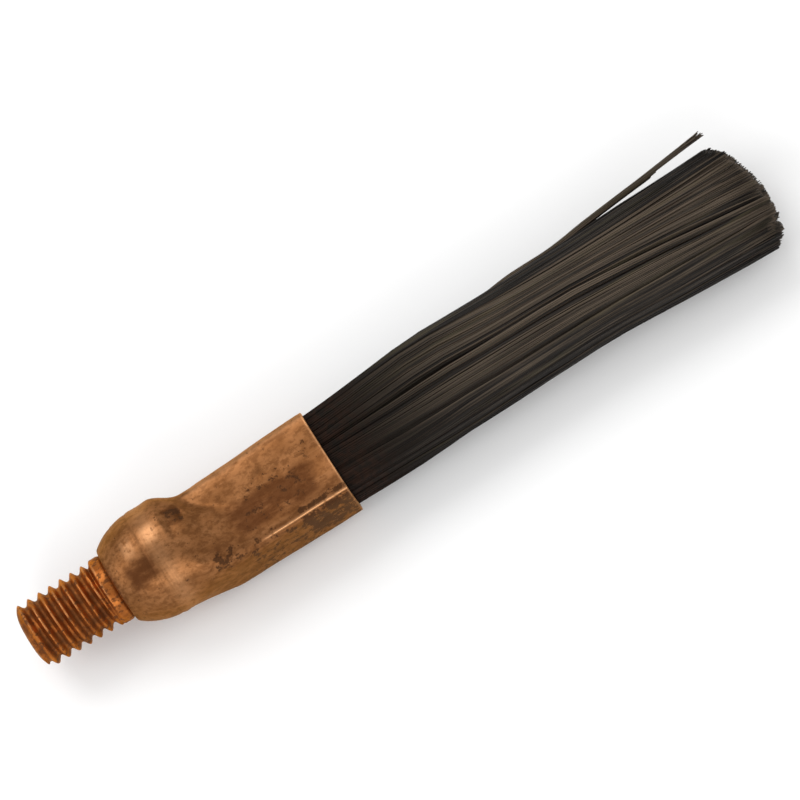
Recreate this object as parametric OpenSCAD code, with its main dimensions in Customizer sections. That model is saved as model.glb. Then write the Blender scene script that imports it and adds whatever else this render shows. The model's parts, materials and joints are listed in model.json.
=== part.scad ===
// Carbon-fibre brush head: a threaded copper stud, a crimped copper ferrule and sixteen fibre tows.
// Millimetres. +X runs along the brush, from the stud to the fibre tips. +Z is the normal of the
// crimped barrel's wide flat. The origin is on the stud's axis, where the stud enters the dome.

/* [Stud] */
// Crest diameter of the M6 thread
thread_d = 5.9; // [5.8:0.02:5.98]
// Thread pitch
pitch = 1; // [0.75:0.25:1]
// Number of thread turns
turns = 7; // [5:1:7]
// Length of the stud in front of the dome
stud_length = 8.3; // [8.3:0.1:10]
// Length of the plain collar behind the thread
collar_length = 0.9; // [0.5:0.1:1]

/* [Ferrule] */
// Length of the ferrule, from the dome's front to the mouth
ferrule_length = 20.1; // [18:0.1:24]
// Wall thickness of the copper tube
wall = 0.4; // [0.4:0.05:0.6]
// Radius of the dome at its widest
dome_r = 4.66; // [4.4:0.02:4.8]
// Where the dome is widest
dome_x = 4.1; // [3.6:0.1:4.6]
// Where the crimped barrel has its full shape
crimp_x = 8.2; // [7.8:0.1:10.5]
// Width of the crimped barrel at the mouth
mouth_w = 8.1; // [7.6:0.1:8.4]
// Thickness of the crimped barrel at the mouth
mouth_t = 6.8; // [6.4:0.1:7.2]
// Width and thickness that the barrel loses at its waist
waist_loss = 0.4; // [0:0.05:0.5]
// How square the crimp is: the exponent of its superellipse
crimp_power = 7; // [4:0.5:9]
// How far the crimp shifts the barrel towards -Y
crimp_shift_y = 0.66; // [0:0.02:0.8]
// How far the crimp shifts the barrel towards -Z
crimp_shift_z = 0.4; // [0:0.02:0.6]

/* [Tuft] */
// Free length of the fibres
tuft_length = 41.2; // [30:0.2:45]
// Width of the tuft where it has settled, a third of the way out
tuft_w = 8.6; // [8:0.1:9]
// Thickness of the tuft there
tuft_t = 6.3; // [6:0.1:7]
// Width of the tuft at its tip
tip_w = 9.6; // [8.5:0.1:9.8]
// Thickness of the tuft at its tip
tip_t = 6.7; // [6.2:0.1:7.2]
// How square the tuft is: the exponent of its superellipse
tuft_power = 3.2; // [2.5:0.1:4]
// How much shorter the outermost fibres are than the middle ones
tip_round = 2.4; // [0:0.1:3]
// Sideways drift of the tuft towards +Y
tip_drift = 0.5; // [0:0.1:1.5]
// Gap between two tows
tow_gap = 0.06; // [0.04:0.01:0.12]
// Furthest that the tuft bends up or down, in degrees
bend_limit = 20; // [10:1:25]

/* [Strays] */
// Diameter of the stray strand
stray_d = 0.5; // [0.4:0.05:0.6]
// Diameter of the split strand
split_d = 0.34; // [0.3:0.02:0.4]
// How far the stray strand's end stands off the tuft
stray_lift = 1.0; // [0.8:0.1:2]

/* [Hidden] */
$fn = 64;
thread_r = thread_d / 2;
thread_depth = 0.613 * pitch;       // depth of an external M thread
crest_flat = pitch / 8;
root_flat = pitch / 4;
thread_end = -collar_length;        // where the thread runs out into the collar
nose_length = 0.4;                  // chamfer of the stud's nose: along the axis
nose_drop = 0.55;                   // and across it
neck_length = 0.2;                  // chamfer between the collar and the dome
head_length = dome_x + 0.5;         // the stud's neck and head, inside the dome
head_step = 0.4;                    // spacing of the points along the head's profile

lip_r = 3.25;                       // the dome's lip around the stud
lip_lift = 0.9;                     // how bluntly the dome rises from its lip
dome_power = 2.2;                   // how round the dome is towards its widest place
press = 0.02;                       // interference of the swaged dome on the stud
waist_x = 7.9;                      // where the barrel is slimmest
crimp_start = dome_x + 0.6;         // where the dome starts to turn into the barrel
shift_back = 0.39;                  // share of the sideways shift that is lost again by the mouth
segments = 48;
rings = 30;
ring_crowd = 1.25;                  // how much closer together the rings are on the dome

// The section of the tow bundle inside the barrel clears the wall by this much
bundle_clear = 0.04;
held_start = head_length + 0.1;     // the held ends butt on the stud's head here
mouth_clear = 0.12;                 // slack of the bevelled free ends at the bend line
wedge_spare = 1.04;                 // and the spare angle of their bevel
held_gap = 0.05;                    // the held ends stop this short of the mouth
settle = 13;                        // length over which the tuft settles to its free section
flare_x = 22;                       // where it starts to flare again
drift_start = 0.13;                 // share of the drift that points back towards -Y at first
drift_length = 26;                  // length over which the tuft drifts
tuft_sag = 0.2;                     // how far the settled tuft hangs below the axis
tip_sag = 0.3;                      // and how much further its tip hangs
thick_share = 0.4;                  // how much the thickness counts in rounding the tip, against the width
tip_power = 1.5;                    // how late the rounding of the tip sets in
tow_rings = 16;
turn_rings = 8;                     // rings of a held end while the dome turns into the barrel
straight_rings = 3;                 // and from there to the mouth
cell_steps = 4;                     // points along each side of a tow's cell
// Edges of the tow columns, as shares of the half width, and of the layers
column_edges = [-1, -0.54, -0.06, 0.54, 1];
layer_edges = [-1, -0.5, 0, 0.5, 1];
tow_shade = [0.20, 0.19, 0.17];
strand_clear = 0.05;                // a loose strand lies this far off the tuft's side
thin_end = 0.55;                    // its thickness where it leaves the tuft, as a share of the full one
thick_from = 6;                     // and the length over which it reaches the full one
lift_power = 1.2;                   // how it curls away
strand_steps = 18;
strand_sides = 8;

// ---- shared functions ----

function smooth(u) = let (c = min(1, max(0, u))) c * c * (3 - 2 * c);
function mix(a, b, s) = a + (b - a) * s;
function sgn_pow(v, p) = sign(v) * pow(abs(v), p);

// A point of a superellipse: angle a, half sizes w and t, exponent n
function super_point(a, w, t, n) = [w * sgn_pow(cos(a), 2 / n), t * sgn_pow(sin(a), 2 / n)];

// Dome radius: a blunt quarter-superellipse from the lip up to the widest place
function dome_radius(x) = let (u = 1 - min(1, max(0, x / dome_x)))
    lip_r + (dome_r - lip_r) * pow(1 - pow(u, dome_power), lip_lift);

// How far the round dome has turned into the crimped barrel at x: 0 to 1
function crimped(x) = smooth((x - crimp_start) / (crimp_x - crimp_start));

// The ferrule's section at x, inset by d: [centre y, centre z, half width, half thickness, exponent]
function ferrule_section(x, d) =
    let (s = crimped(x),
         loss = waist_loss * (1 - smooth((x - waist_x) / (ferrule_length - waist_x))))
    [-crimp_shift_y * s * (1 - shift_back * smooth((x - crimp_x) / (ferrule_length - crimp_x))),
     -crimp_shift_z * s,
     mix(dome_radius(x), (mouth_w - loss) / 2, s) - d,
     mix(dome_radius(x), (mouth_t - loss) / 2, s) - d,
     mix(2, crimp_power, s)];

// A ring of n points, with a flat and not a corner towards each of +Y, +Z, -Y and -Z
function section_ring(x, sec, n) = [for (i = [0:n - 1])
    let (p = super_point(360 * (i + 0.5) / n, sec[2], sec[3], sec[4])) [x, sec[0] + p[0], sec[1] + p[1]]];

// Triangles between two rings of n points, whose first points are a and b
function band(a, b, n) = [for (i = [0:n - 1]) let (j = (i + 1) % n)
    each [[a + i, b + i, b + j], [a + i, b + j, a + j]]];

// A fan that closes a ring of n points starting at a, around the point c
function fan(a, c, n, turned) = [for (i = [0:n - 1]) let (j = (i + 1) % n)
    turned ? [c, a + i, a + j] : [c, a + j, a + i]];

// A closed solid through a list of rings that all have the same number of points
module loft(ring_list) {
    n = len(ring_list[0]);
    last = len(ring_list) - 1;
    first_c = (last + 1) * n;
    mean = function (ring) [for (k = [0:2]) [for (p = ring) p[k]] * [for (p = ring) 1 / n]];
    polyhedron(
        points = concat([for (ring = ring_list) each ring],
            [mean(ring_list[0]), mean(ring_list[last])]),
        faces = concat([for (k = [0:last - 1]) each band(k * n, (k + 1) * n, n)],
            fan(0, first_c, n, true), fan(last * n, first_c + 1, n, false)));
}

// ---- the copper parts ----

// Half profile of one turn of the thread, whose crest is centred on x = 0
function turn_profile(x) = let (foot = (pitch - root_flat) / 2)
    [[x - foot, thread_r - thread_depth], [x - crest_flat / 2, thread_r],
     [x + crest_flat / 2, thread_r], [x + foot, thread_r - thread_depth]];

module threaded_stud() {
    core_r = thread_r - thread_depth;
    first_crest = thread_end - pitch / 2 - (turns - 1) * pitch;
    neck_r = lip_r - wall + press;
    head_r = ferrule_section(dome_x, wall - press)[2];
    outline = concat(
        [[-stud_length, 0], [-stud_length, core_r - nose_drop],
         [-stud_length + nose_length, core_r]],
        [for (k = [0:turns - 1]) each turn_profile(first_crest + k * pitch)],
        [[thread_end, thread_r], [-neck_length, thread_r], [0, neck_r]],
        // the head fills the dome's inner profile
        [for (x = [head_step:head_step:dome_x]) [x, dome_radius(x) - wall + press]],
        [[head_length, head_r], [head_length, 0]]);
    color([0.60, 0.33, 0.17])
        rotate([0, 90, 0]) rotate([0, 0, 90])
            rotate_extrude() polygon([for (p = outline) [p[1], p[0]]]);
}

module ferrule() {
    xs = [for (k = [0:rings]) ferrule_length * pow(k / rings, ring_crowd)];
    n = segments;
    outer = [for (x = xs) each section_ring(x, ferrule_section(x, 0), n)];
    inner = [for (x = xs) each section_ring(x, ferrule_section(x, wall), n)];
    m = (rings + 1) * n;
    color([0.66, 0.44, 0.27])
        polyhedron(points = concat(outer, inner),
            faces = concat(
                [for (k = [0:rings - 1]) each band(k * n, (k + 1) * n, n)],
                [for (k = [0:rings - 1]) each band(m + (k + 1) * n, m + k * n, n)],
                band(m, 0, n),
                band(rings * n, m + rings * n, n)));
}

// ---- the fibres ----

// The bundle's section at x: held inside the barrel, then settling, then flaring to the tip
function tuft_section(x) =
    let (held = ferrule_section(min(x, ferrule_length), wall + bundle_clear),
         out = x - ferrule_length,
         s = smooth(out / settle),
         f = smooth((out - flare_x) / (tuft_length - flare_x)),
         power = mix(held[4], tuft_power, s))
    [mix(held[0], tip_drift * (smooth(out / drift_length) - drift_start), s),
     mix(held[1], -tuft_sag - tip_sag * f, s),
     mix(held[2], mix(tuft_w, tip_w, f) / 2, s),
     mix(held[3], mix(tuft_t, tip_t, f) / 2, s),
     power];

// Square to superellipse: a point [u, v] of the square from -1 to 1, drawn in to the section
function in_section(u, v, sec) =
    let (m = max(abs(u), abs(v)), n = sec[4],
         q = m == 0 ? 1 : m / pow(pow(abs(u), n) + pow(abs(v), n), 1 / n))
    [sec[0] + sec[2] * u * q, sec[1] + sec[3] * v * q];

// The outline of cell [column, layer] in the square, drawn in by half the gap
function cell_outline(c, l) =
    let (du = tow_gap / tuft_w, dv = tow_gap / tuft_t,
         u0 = column_edges[c] + du, u1 = column_edges[c + 1] - du,
         v0 = layer_edges[l] + dv, v1 = layer_edges[l + 1] - dv, k = cell_steps)
    concat([for (i = [0:k - 1]) [mix(u0, u1, i / k), v0]],
           [for (i = [0:k - 1]) [u1, mix(v0, v1, i / k)]],
           [for (i = [0:k - 1]) [mix(u1, u0, i / k), v1]],
           [for (i = [0:k - 1]) [u0, mix(v1, v0, i / k)]]);

// How far the fibre at [u, v] falls short at the tip
function tip_short(u, v) =
    tip_round * pow((u * u + thick_share * v * v) / (1 + thick_share), tip_power);

// The free ends start on a wedge that clears the mouth at the bend limit
function free_start(z) = ferrule_length + mouth_clear
    + abs(z + crimp_shift_z) * tan(bend_limit) * wedge_spare;

// One fibre's point, a share s of the way along its free length
function free_point(u, v, s) =
    let (z0 = in_section(u, v, tuft_section(ferrule_length))[1],
         x = mix(free_start(z0), ferrule_length + tuft_length - tip_short(u, v), s),
         p = in_section(u, v, tuft_section(x)))
    [x, p[0], p[1]];

// Where a held end has its rings: close together until the barrel has its full shape
held_xs = concat(
    [for (k = [0:turn_rings]) mix(held_start, crimp_x, k / turn_rings)],
    [for (k = [1:straight_rings]) mix(crimp_x, ferrule_length - held_gap, k / straight_rings)]);

function held_point(u, v, x) = let (p = in_section(u, v, tuft_section(x))) [x, p[0], p[1]];

// Tow i, counted from 1: columns run towards +Y, layers towards +Z
function tow_cell(i) = cell_outline((i - 1) % 4, floor((i - 1) / 4));

module tow(i) {
    color(tow_shade)
        loft([for (k = [0:tow_rings]) [for (q = tow_cell(i)) free_point(q[0], q[1], k / tow_rings)]]);
}

module tow_held(i) {
    color(tow_shade * 0.8)
        loft([for (x = held_xs) [for (q = tow_cell(i)) held_point(q[0], q[1], x)]]);
}

// A loose strand of thickness d, on the tuft's +Y side at the height share v. It starts a share `from`
// of the way along the tuft, parts from it at `parts`, and ends at `ends`, `lift` away and `rise` of that up
module strand(d, v, from, parts, ends, lift, rise) {
    at = function (share) ferrule_length + tuft_length * share;
    path = [for (k = [0:strand_steps])
        let (x = mix(at(from), at(ends), k / strand_steps),
             p = in_section(1, v, tuft_section(x)),
             away = lift * pow(max(0, (x - at(parts)) / (at(ends) - at(parts))), lift_power),
             thickness = d * mix(thin_end, 1, smooth((x - at(from)) / thick_from)))
        [x, p[0] + d / 2 + strand_clear + away, p[1] + rise * away, thickness]];
    color(tow_shade * 0.9)
        loft([for (q = path) [for (i = [0:strand_sides - 1]) let (a = 360 * i / strand_sides)
            [q[0], q[1] + q[3] / 2 * cos(a), q[2] + q[3] / 2 * sin(a)]]]);
}

module stray_strand() {
    strand(stray_d, v = 0.55, from = 0.34, parts = 0.607, ends = 0.949, lift = stray_lift, rise = 0.25);
}

module split_strand() {
    strand(split_d, v = 0.2, from = 0.413, parts = 0.655, ends = 0.837, lift = stray_lift * 0.5, rise = 0.3);
}

threaded_stud();
ferrule();
tow(1);  // tow_01
tow(2);  // tow_02
tow(3);  // tow_03
tow(4);  // tow_04
tow(5);  // tow_05
tow(6);  // tow_06
tow(7);  // tow_07
tow(8);  // tow_08
tow(9);  // tow_09
tow(10);  // tow_10
tow(11);  // tow_11
tow(12);  // tow_12
tow(13);  // tow_13
tow(14);  // tow_14
tow(15);  // tow_15
tow(16);  // tow_16
tow_held(1);  // tow_01_held
tow_held(2);  // tow_02_held
tow_held(3);  // tow_03_held
tow_held(4);  // tow_04_held
tow_held(5);  // tow_05_held
tow_held(6);  // tow_06_held
tow_held(7);  // tow_07_held
tow_held(8);  // tow_08_held
tow_held(9);  // tow_09_held
tow_held(10);  // tow_10_held
tow_held(11);  // tow_11_held
tow_held(12);  // tow_12_held
tow_held(13);  // tow_13_held
tow_held(14);  // tow_14_held
tow_held(15);  // tow_15_held
tow_held(16);  // tow_16_held
stray_strand();
split_strand();
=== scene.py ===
# %% [markdown]
# # A carbon-fibre brush head with a copper ferrule
# The head screws into the handle of a cleaning wand. It has three kinds of part: a copper stud
# with an M6 thread, a copper tube that was spun to a dome around the stud and crimped flat around
# the fibres, and a tuft of sixteen carbon-fibre tows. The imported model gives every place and
# size. The lesson below builds the surfaces that the eye sees on top of it: the spiral thread,
# the crimped skin and the single strands.

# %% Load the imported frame
import json

import bpy
import numpy as np
from mathutils import Matrix, Vector

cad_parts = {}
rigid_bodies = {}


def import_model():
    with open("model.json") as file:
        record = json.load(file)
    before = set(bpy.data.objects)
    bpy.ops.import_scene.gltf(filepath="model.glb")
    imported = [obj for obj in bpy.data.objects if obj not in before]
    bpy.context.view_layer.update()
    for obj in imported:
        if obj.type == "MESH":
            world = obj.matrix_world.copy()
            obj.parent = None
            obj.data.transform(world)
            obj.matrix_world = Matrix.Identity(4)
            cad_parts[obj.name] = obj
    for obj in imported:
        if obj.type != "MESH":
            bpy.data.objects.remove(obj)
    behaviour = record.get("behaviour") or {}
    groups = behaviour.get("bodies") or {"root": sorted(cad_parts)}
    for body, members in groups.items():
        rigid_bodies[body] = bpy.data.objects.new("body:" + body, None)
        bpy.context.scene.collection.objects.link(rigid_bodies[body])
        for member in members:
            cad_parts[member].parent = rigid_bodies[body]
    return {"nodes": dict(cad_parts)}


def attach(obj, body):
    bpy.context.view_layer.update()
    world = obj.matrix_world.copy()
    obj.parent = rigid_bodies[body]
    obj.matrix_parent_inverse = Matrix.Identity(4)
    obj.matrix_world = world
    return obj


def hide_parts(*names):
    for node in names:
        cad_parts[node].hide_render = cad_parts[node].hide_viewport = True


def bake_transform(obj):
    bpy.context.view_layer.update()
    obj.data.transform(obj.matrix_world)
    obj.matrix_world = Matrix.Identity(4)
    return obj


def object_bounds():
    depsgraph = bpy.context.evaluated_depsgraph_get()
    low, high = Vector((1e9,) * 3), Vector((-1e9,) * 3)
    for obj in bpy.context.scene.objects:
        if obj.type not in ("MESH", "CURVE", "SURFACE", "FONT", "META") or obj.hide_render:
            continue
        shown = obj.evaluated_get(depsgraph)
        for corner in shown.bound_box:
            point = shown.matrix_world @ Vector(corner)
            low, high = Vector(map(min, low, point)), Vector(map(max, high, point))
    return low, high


MM = 0.001
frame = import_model()
cad_low, cad_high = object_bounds()
print("packed model, mm:", [round(c / MM, 2) for c in cad_high - cad_low])

# %% [markdown]
# ## Taking the measurements from the frame
# Nothing is measured twice: the length and the mouth of the tube, the dome's radius, the stud and
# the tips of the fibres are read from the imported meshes. Working in millimetres keeps the numbers
# readable, and one factor turns them into metres at the very end.

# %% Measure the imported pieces
def node_points(name):
    """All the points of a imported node, in millimetres, as rows of x, y and z."""
    mesh = frame["nodes"][name].data
    flat = np.empty(len(mesh.vertices) * 3, np.float32)
    mesh.vertices.foreach_get("co", flat)
    return flat.reshape(-1, 3).astype(float) / MM


TOWS = ["tow_%02d" % number for number in range(1, 17)]
tube = node_points("ferrule")
stud = node_points("threaded_stud")
tube_end = tube[:, 0].max()
rim = tube[tube[:, 0] > tube_end - 0.01]
mouth_half_w = np.ptp(rim[:, 1]) / 2
mouth_half_t = np.ptp(rim[:, 2]) / 2
mouth_z = rim[:, 2].mean()
dome_r = np.hypot(tube[:, 1], tube[:, 2])[tube[:, 0] < 5].max()
stud_start = stud[:, 0].min()
head_end = stud[:, 0].max()
crest_r = np.hypot(stud[:, 1], stud[:, 2])[stud[:, 0] < -0.5].max()
tip_end = max(node_points(name)[:, 0].max() for name in TOWS)
tuft_length = tip_end - tube_end
print("tube %.2f, dome r %.2f, mouth %.2f x %.2f, stud from %.2f r %.2f, tip at %.2f" % (
    tube_end, dome_r, 2 * mouth_half_w, 2 * mouth_half_t, stud_start, crest_r, tip_end))

# %% [markdown]
# The rest of the design is a handful of numbers that say how the tube turns from round to flat
# and how the tuft leaves it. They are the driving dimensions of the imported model, so the new
# skins follow its solids.

# %% Driving dimensions, in millimetres
WALL = 0.4
LIP_R = 3.25
DOME_X = 4.1
FAR_SIDE = 0.15
CRIMP_START = 4.7
CRIMP_X = 8.2
WAIST_X = 7.9
WAIST_LOSS = 0.4
CRIMP_POWER = 7
CRIMP_SHIFT_Y = 0.66
SHIFT_BACK = 0.39
CRIMP_LAG = 3.8
SETTLE = 13
FLARE = 22
TUFT_W = 8.6
TUFT_T = 6.3
TIP_W = 9.6
TIP_T = 6.7
TUFT_POWER = 3.2
DRIFT = 0.5
DRIFT_START = 0.13
DRIFT_LENGTH = 26
TIP_ROUND = 2.4
COLUMN_EDGES = np.array([-1, -0.54, -0.06, 0.54, 1])
LAYER_EDGES = np.array([-1, -0.5, 0, 0.5, 1])
PITCH = 1
rng = np.random.default_rng(6)

# %% [markdown]
# ## Small tools
# Every surface below is a grid of points, worked out as whole arrays. `smooth` is the S-shaped
# step that joins one rule to the next, and `window` is a plateau with soft sides, good for dents
# and stains.

# %% Steps, mixes and plateaus
def smooth(u):
    """3c^2 - 2c^3, where c is u held between 0 and 1."""
    c = np.clip(u, 0, 1)
    return c * c * (3 - 2 * c)


def mix(a, b, share):
    """a where the share is 0, b where it is 1."""
    return a + (b - a) * share


def window(x, start, end, soft):
    """1 between start and end, falling smoothly to 0 over a length of soft outside them."""
    return smooth((x - start) / soft + 1) * smooth((end - x) / soft + 1)


def ripple(x, angle, seed, count=9, longest=6.0):
    """A gentle unevenness, about -1 to 1: sines in x and in whole turns round the axis."""
    draw = np.random.default_rng(seed)
    total = 0
    for _ in range(count):
        length = longest * draw.uniform(0.3, 1)
        turns = draw.integers(-5, 6)
        total = total + np.sin(2 * np.pi * x / length + turns * angle + draw.uniform(0, 6.28))
    return total / np.sqrt(count) / 2


# %% [markdown]
# `grid_faces` turns a grid of points into squares. A grid that closes on itself in both
# directions is a tube with a wall; one that closes only around the axis gets a point at each end.
# `make_piece` hands the arrays to Blender in one go with `foreach_set`, which is far quicker than
# adding points one by one.

# %% From arrays to a mesh
def grid_faces(rows, columns, wrap_rows=False):
    """Squares between neighbouring points of a rows x columns grid, closed round the columns."""
    strips = rows if wrap_rows else rows - 1
    row, column = np.meshgrid(np.arange(strips), np.arange(columns), indexing="ij")
    below, right = (row + 1) % rows, (column + 1) % columns
    corners = [row * columns + column, row * columns + right,
               below * columns + right, below * columns + column]
    return np.stack(corners, axis=-1).reshape(-1, 4)


def make_piece(name, points, face_lists, **values):
    """A smooth mesh object from points in millimetres, faces, and stored numbers by name."""
    mesh = bpy.data.meshes.new(name)
    mesh.vertices.add(len(points))
    mesh.vertices.foreach_set("co", (points * MM).astype(np.float32).ravel())
    sizes = np.concatenate([np.full(len(faces), faces.shape[1]) for faces in face_lists])
    mesh.loops.add(int(sizes.sum()))
    corners = np.concatenate([faces.ravel() for faces in face_lists])
    mesh.loops.foreach_set("vertex_index", corners.astype(np.int32))
    mesh.polygons.add(len(sizes))
    mesh.polygons.foreach_set("loop_start", (np.cumsum(sizes) - sizes).astype(np.int32))
    mesh.polygons.foreach_set("use_smooth", np.ones(len(sizes), bool))
    for title, numbers in values.items():
        attribute = mesh.attributes.new(title, "FLOAT", "POINT")
        attribute.data.foreach_set("value", np.asarray(numbers, np.float32).ravel())
    mesh.update(calc_edges=True)
    mesh.validate()
    piece = bpy.data.objects.new(name, mesh)
    bpy.context.scene.collection.objects.link(piece)
    return piece


# %% [markdown]
# ## The shape of the tube
# The real tube is a piece of copper pipe. Its front was spun down to a lip around the stud, which
# leaves a dome with fine turning rings. Its back was pressed between two flat dies, which leaves
# a rounded rectangle. A superellipse covers both: its exponent is 2 on the round dome and 7 on
# the crimped barrel. Revolving a profile couldn't make the flats, and a box with rounded edges
# couldn't make the dome, so one formula that changes along the axis is the simplest way. The dies
# bit first on the far side, so there the crimp starts with a short step, while the top and the
# near side slope down slowly from the dome.

# %% Section of the tube at every x
def dome_radius(x):
    """A blunt quarter-ellipse that rises from the lip's radius to the dome's."""
    u = 1 - np.clip(x / DOME_X, 0, 1)
    return LIP_R + (dome_r - LIP_R) * (1 - u ** 2.2) ** 0.9


def angle_apart(angle, middle):
    """How far an angle is from the middle one, the short way round."""
    return np.abs((angle - middle + np.pi) % (2 * np.pi) - np.pi)


def crimp_lag(angle):
    """How much later the crimp is complete here: not at all on the far side, most elsewhere."""
    return CRIMP_LAG * smooth(angle_apart(angle, FAR_SIDE) - 0.5)


def tube_section(x, inset, lag=0):
    """The section's centre y and z, half width, half thickness and exponent, less the inset."""
    turned = smooth((x - CRIMP_START) / (CRIMP_X + lag - CRIMP_START))
    loss = WAIST_LOSS * (1 - smooth((x - WAIST_X) / (tube_end - WAIST_X)))
    back = 1 - SHIFT_BACK * smooth((x - CRIMP_X) / (tube_end - CRIMP_X))
    half_w = mix(dome_radius(x), mouth_half_w - loss / 2, turned) - inset
    half_t = mix(dome_radius(x), mouth_half_t - loss / 2, turned) - inset
    power = mix(2.0, CRIMP_POWER, turned)
    return -CRIMP_SHIFT_Y * turned * back, mouth_z * turned, half_w, half_t, power


def tube_points(x, angle, inset, relief=0):
    """Points of the section's outline: a distance from its centre at each angle, plus relief."""
    centre_y, centre_z, half_w, half_t, power = tube_section(x, inset, crimp_lag(angle))
    across, up = np.cos(angle), np.sin(angle)
    curve = np.abs(across / half_w) ** power + np.abs(up / half_t) ** power
    reach = curve ** (-1 / power) + relief
    return np.stack([x + 0 * angle, centre_y + reach * across, centre_z + reach * up], axis=-1)


x_line = np.linspace(0, tube_end, 9)[:, None]
drawn = tube_points(x_line, np.linspace(0, 2 * np.pi, 240)[None], 0)
print("dome and mouth by the formula, mm:", drawn[..., 1].max(axis=1).round(2))
print("packed tube's highest y, mm:", tube[:, 1].max().round(2))

# %% [markdown]
# ## The marks of making and of use
# These are real shapes and not only a pattern in the finish, so that they hold from every side:
# turning rings on the dome, a groove beside a raised ring, the dies' uneven bite, a dent near the
# far edge, a faint hollow along each flat, creases along the corners, and small dings.

# %% Relief of the tube's outer skin
NEAR_CREASE = np.radians(139.5)
CREASE_START = 11.5
# Each ding: x, angle in radians, size and depth.
DINGS = [(7.4, 2.2, 0.5, 0.10), (11.8, 1.9, 0.35, 0.05), (14.6, 1.2, 0.4, 0.05),
         (17.2, 2.9, 0.5, 0.07), (6.1, 3.4, 0.6, 0.09), (9.0, 4.4, 0.6, 0.08),
         (15.2, 5.1, 0.5, 0.06), (12.5, 0.2, 0.5, 0.06)]


def near_line(angle, beside):
    """A narrow line along the tube, beside the near upper crease by this many radians."""
    return np.exp(-(angle_apart(angle, NEAR_CREASE + beside) / 0.024) ** 2)


def crease_share(x):
    """The near crease begins part of the way along the barrel: 0 before it, then 1."""
    return smooth((x - CREASE_START) / 2)


def tube_relief(x, angle):
    """Height of every mark on the skin, in millimetres, added up."""
    on_dome = window(x, 0.8, 4.4, 0.7)
    rings = 0.0035 * np.sin(2 * np.pi * x / 0.27) + 0.0025 * np.sin(2 * np.pi * x / 0.171 + 1.3)
    uneven = 0.65 + 0.35 * ripple(x, angle, 2)
    collar = 0.030 * np.exp(-((x - 3.80) / 0.22) ** 2) - 0.060 * np.exp(-((x - 3.38) / 0.15) ** 2)
    collar = uneven * (collar - 0.03 * np.exp(-((x - 1.75) / 0.14) ** 2))
    bite = 0.05 * ripple(x, angle, 3) * window(x, 5.2, 9.5, 1.4)
    waves = 0.022 * ripple(x, angle, 4, longest=9) * smooth((x - 8) / 3)
    top = angle_apart(angle, np.pi / 2)
    hollow = -0.05 * np.exp(-(top / 0.45) ** 2) * smooth((x - 8) / 3)
    across = 0.4 * (1 - (x - 6.0) / 2.6)
    narrowing = np.exp(-((angle - 1.18) / np.maximum(across, 0.12)) ** 2)
    dent = -0.30 * window(x, 6.3, 7.4, 0.6) * narrowing
    crease = 0.07 * near_line(angle, 0) - 0.06 * near_line(angle, 0.045)
    crease = (crease + 0.02 * near_line(angle, -0.09)) * crease_share(x)
    full = 0.10 * np.cos(angle) ** 2 * smooth((x - 6.5) / 2.5)
    dings = 0
    for at_x, at_angle, size, depth in DINGS:
        apart = ((x - at_x) / size) ** 2 + (angle_apart(angle, at_angle) * 4 / size) ** 2
        dings = dings - depth * np.exp(-apart)
    return on_dome * (rings + collar) + bite + waves + hollow + dent + crease + full + dings


# %% [markdown]
# The skin is one closed grid that is rolled up like a sleeve: along the outside from the lip to
# the mouth, round the cut edge of the mouth, back along the inside, and round the lip again. So
# the wall is real, and its cut edges are softly rounded as a worn tube's are. The mouth was sawn
# a little askew.

# %% Build the ferrule's shell
AROUND = 320
EDGE = 0.10


def ferrule_rows():
    """x, inset and share of relief for every row of the sleeve, in order round the wall."""
    barrel = np.linspace(5.5, tube_end - EDGE, 124)[1:]
    outside = np.concatenate([np.linspace(0.12, 5.5, 84), barrel])
    turn = np.linspace(0, np.pi, 15)[1:-1]
    mouth_x = tube_end - EDGE + EDGE * np.sin(turn) ** 0.6
    mouth_inset = WALL / 2 * (1 - np.sign(np.cos(turn)) * np.abs(np.cos(turn)) ** 0.6)
    inside = np.linspace(tube_end - EDGE, 0.12, 36)
    lip_x = 0.12 - 0.12 * np.sin(turn) ** 0.6
    x = np.concatenate([outside, mouth_x, inside, lip_x])
    inset = np.concatenate([0 * outside, mouth_inset, 0 * inside + WALL, mouth_inset[::-1]])
    share = np.concatenate([0 * outside + 1, 1 - mouth_inset / WALL, 0 * inside, 0 * lip_x])
    return x[:, None], inset[:, None], share[:, None]


row_x, row_inset, row_share = ferrule_rows()
angles = np.linspace(0, 2 * np.pi, AROUND, endpoint=False)[None]
shell = tube_points(row_x, angles, row_inset, row_share * tube_relief(row_x, angles))
saw_cut = 0.10 * (1 + np.cos(angles - 0.5)) * smooth((row_x - tube_end + 3) / 3)
shell[..., 0] -= saw_cut
print("shell: %d rows of %d points" % shell.shape[:2])

# %% [markdown]
# Stains, worn edges and painted light and shade follow the shape, so each point carries three
# numbers: soft tarnish, crisp soot and wear. The tarnish and the soot also hold painted shade,
# and the wear also holds painted highlights. The finish reads them later and breaks them up with
# finer patterns. Tarnish lies in the hollow of the upper flat, along the sides and on the dome's
# crown; painted shade darkens the dent and the ring groove, and a painted dark reflection lies on
# the dome's near side. Corners and the mouth's edge are rubbed bright; a line along the near
# crease and two spots on the dome are painted highlights.

# %% Where the ferrule is stained, worn and painted with light and shade
CORNERS = (40, 222, 318)


def strongest(parts, like):
    """The largest of the parts at every point, held between 0 and 1."""
    parts = [np.broadcast_to(part, like.shape) for part in parts]
    return np.clip(np.maximum.reduce(parts), 0, 1)


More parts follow.
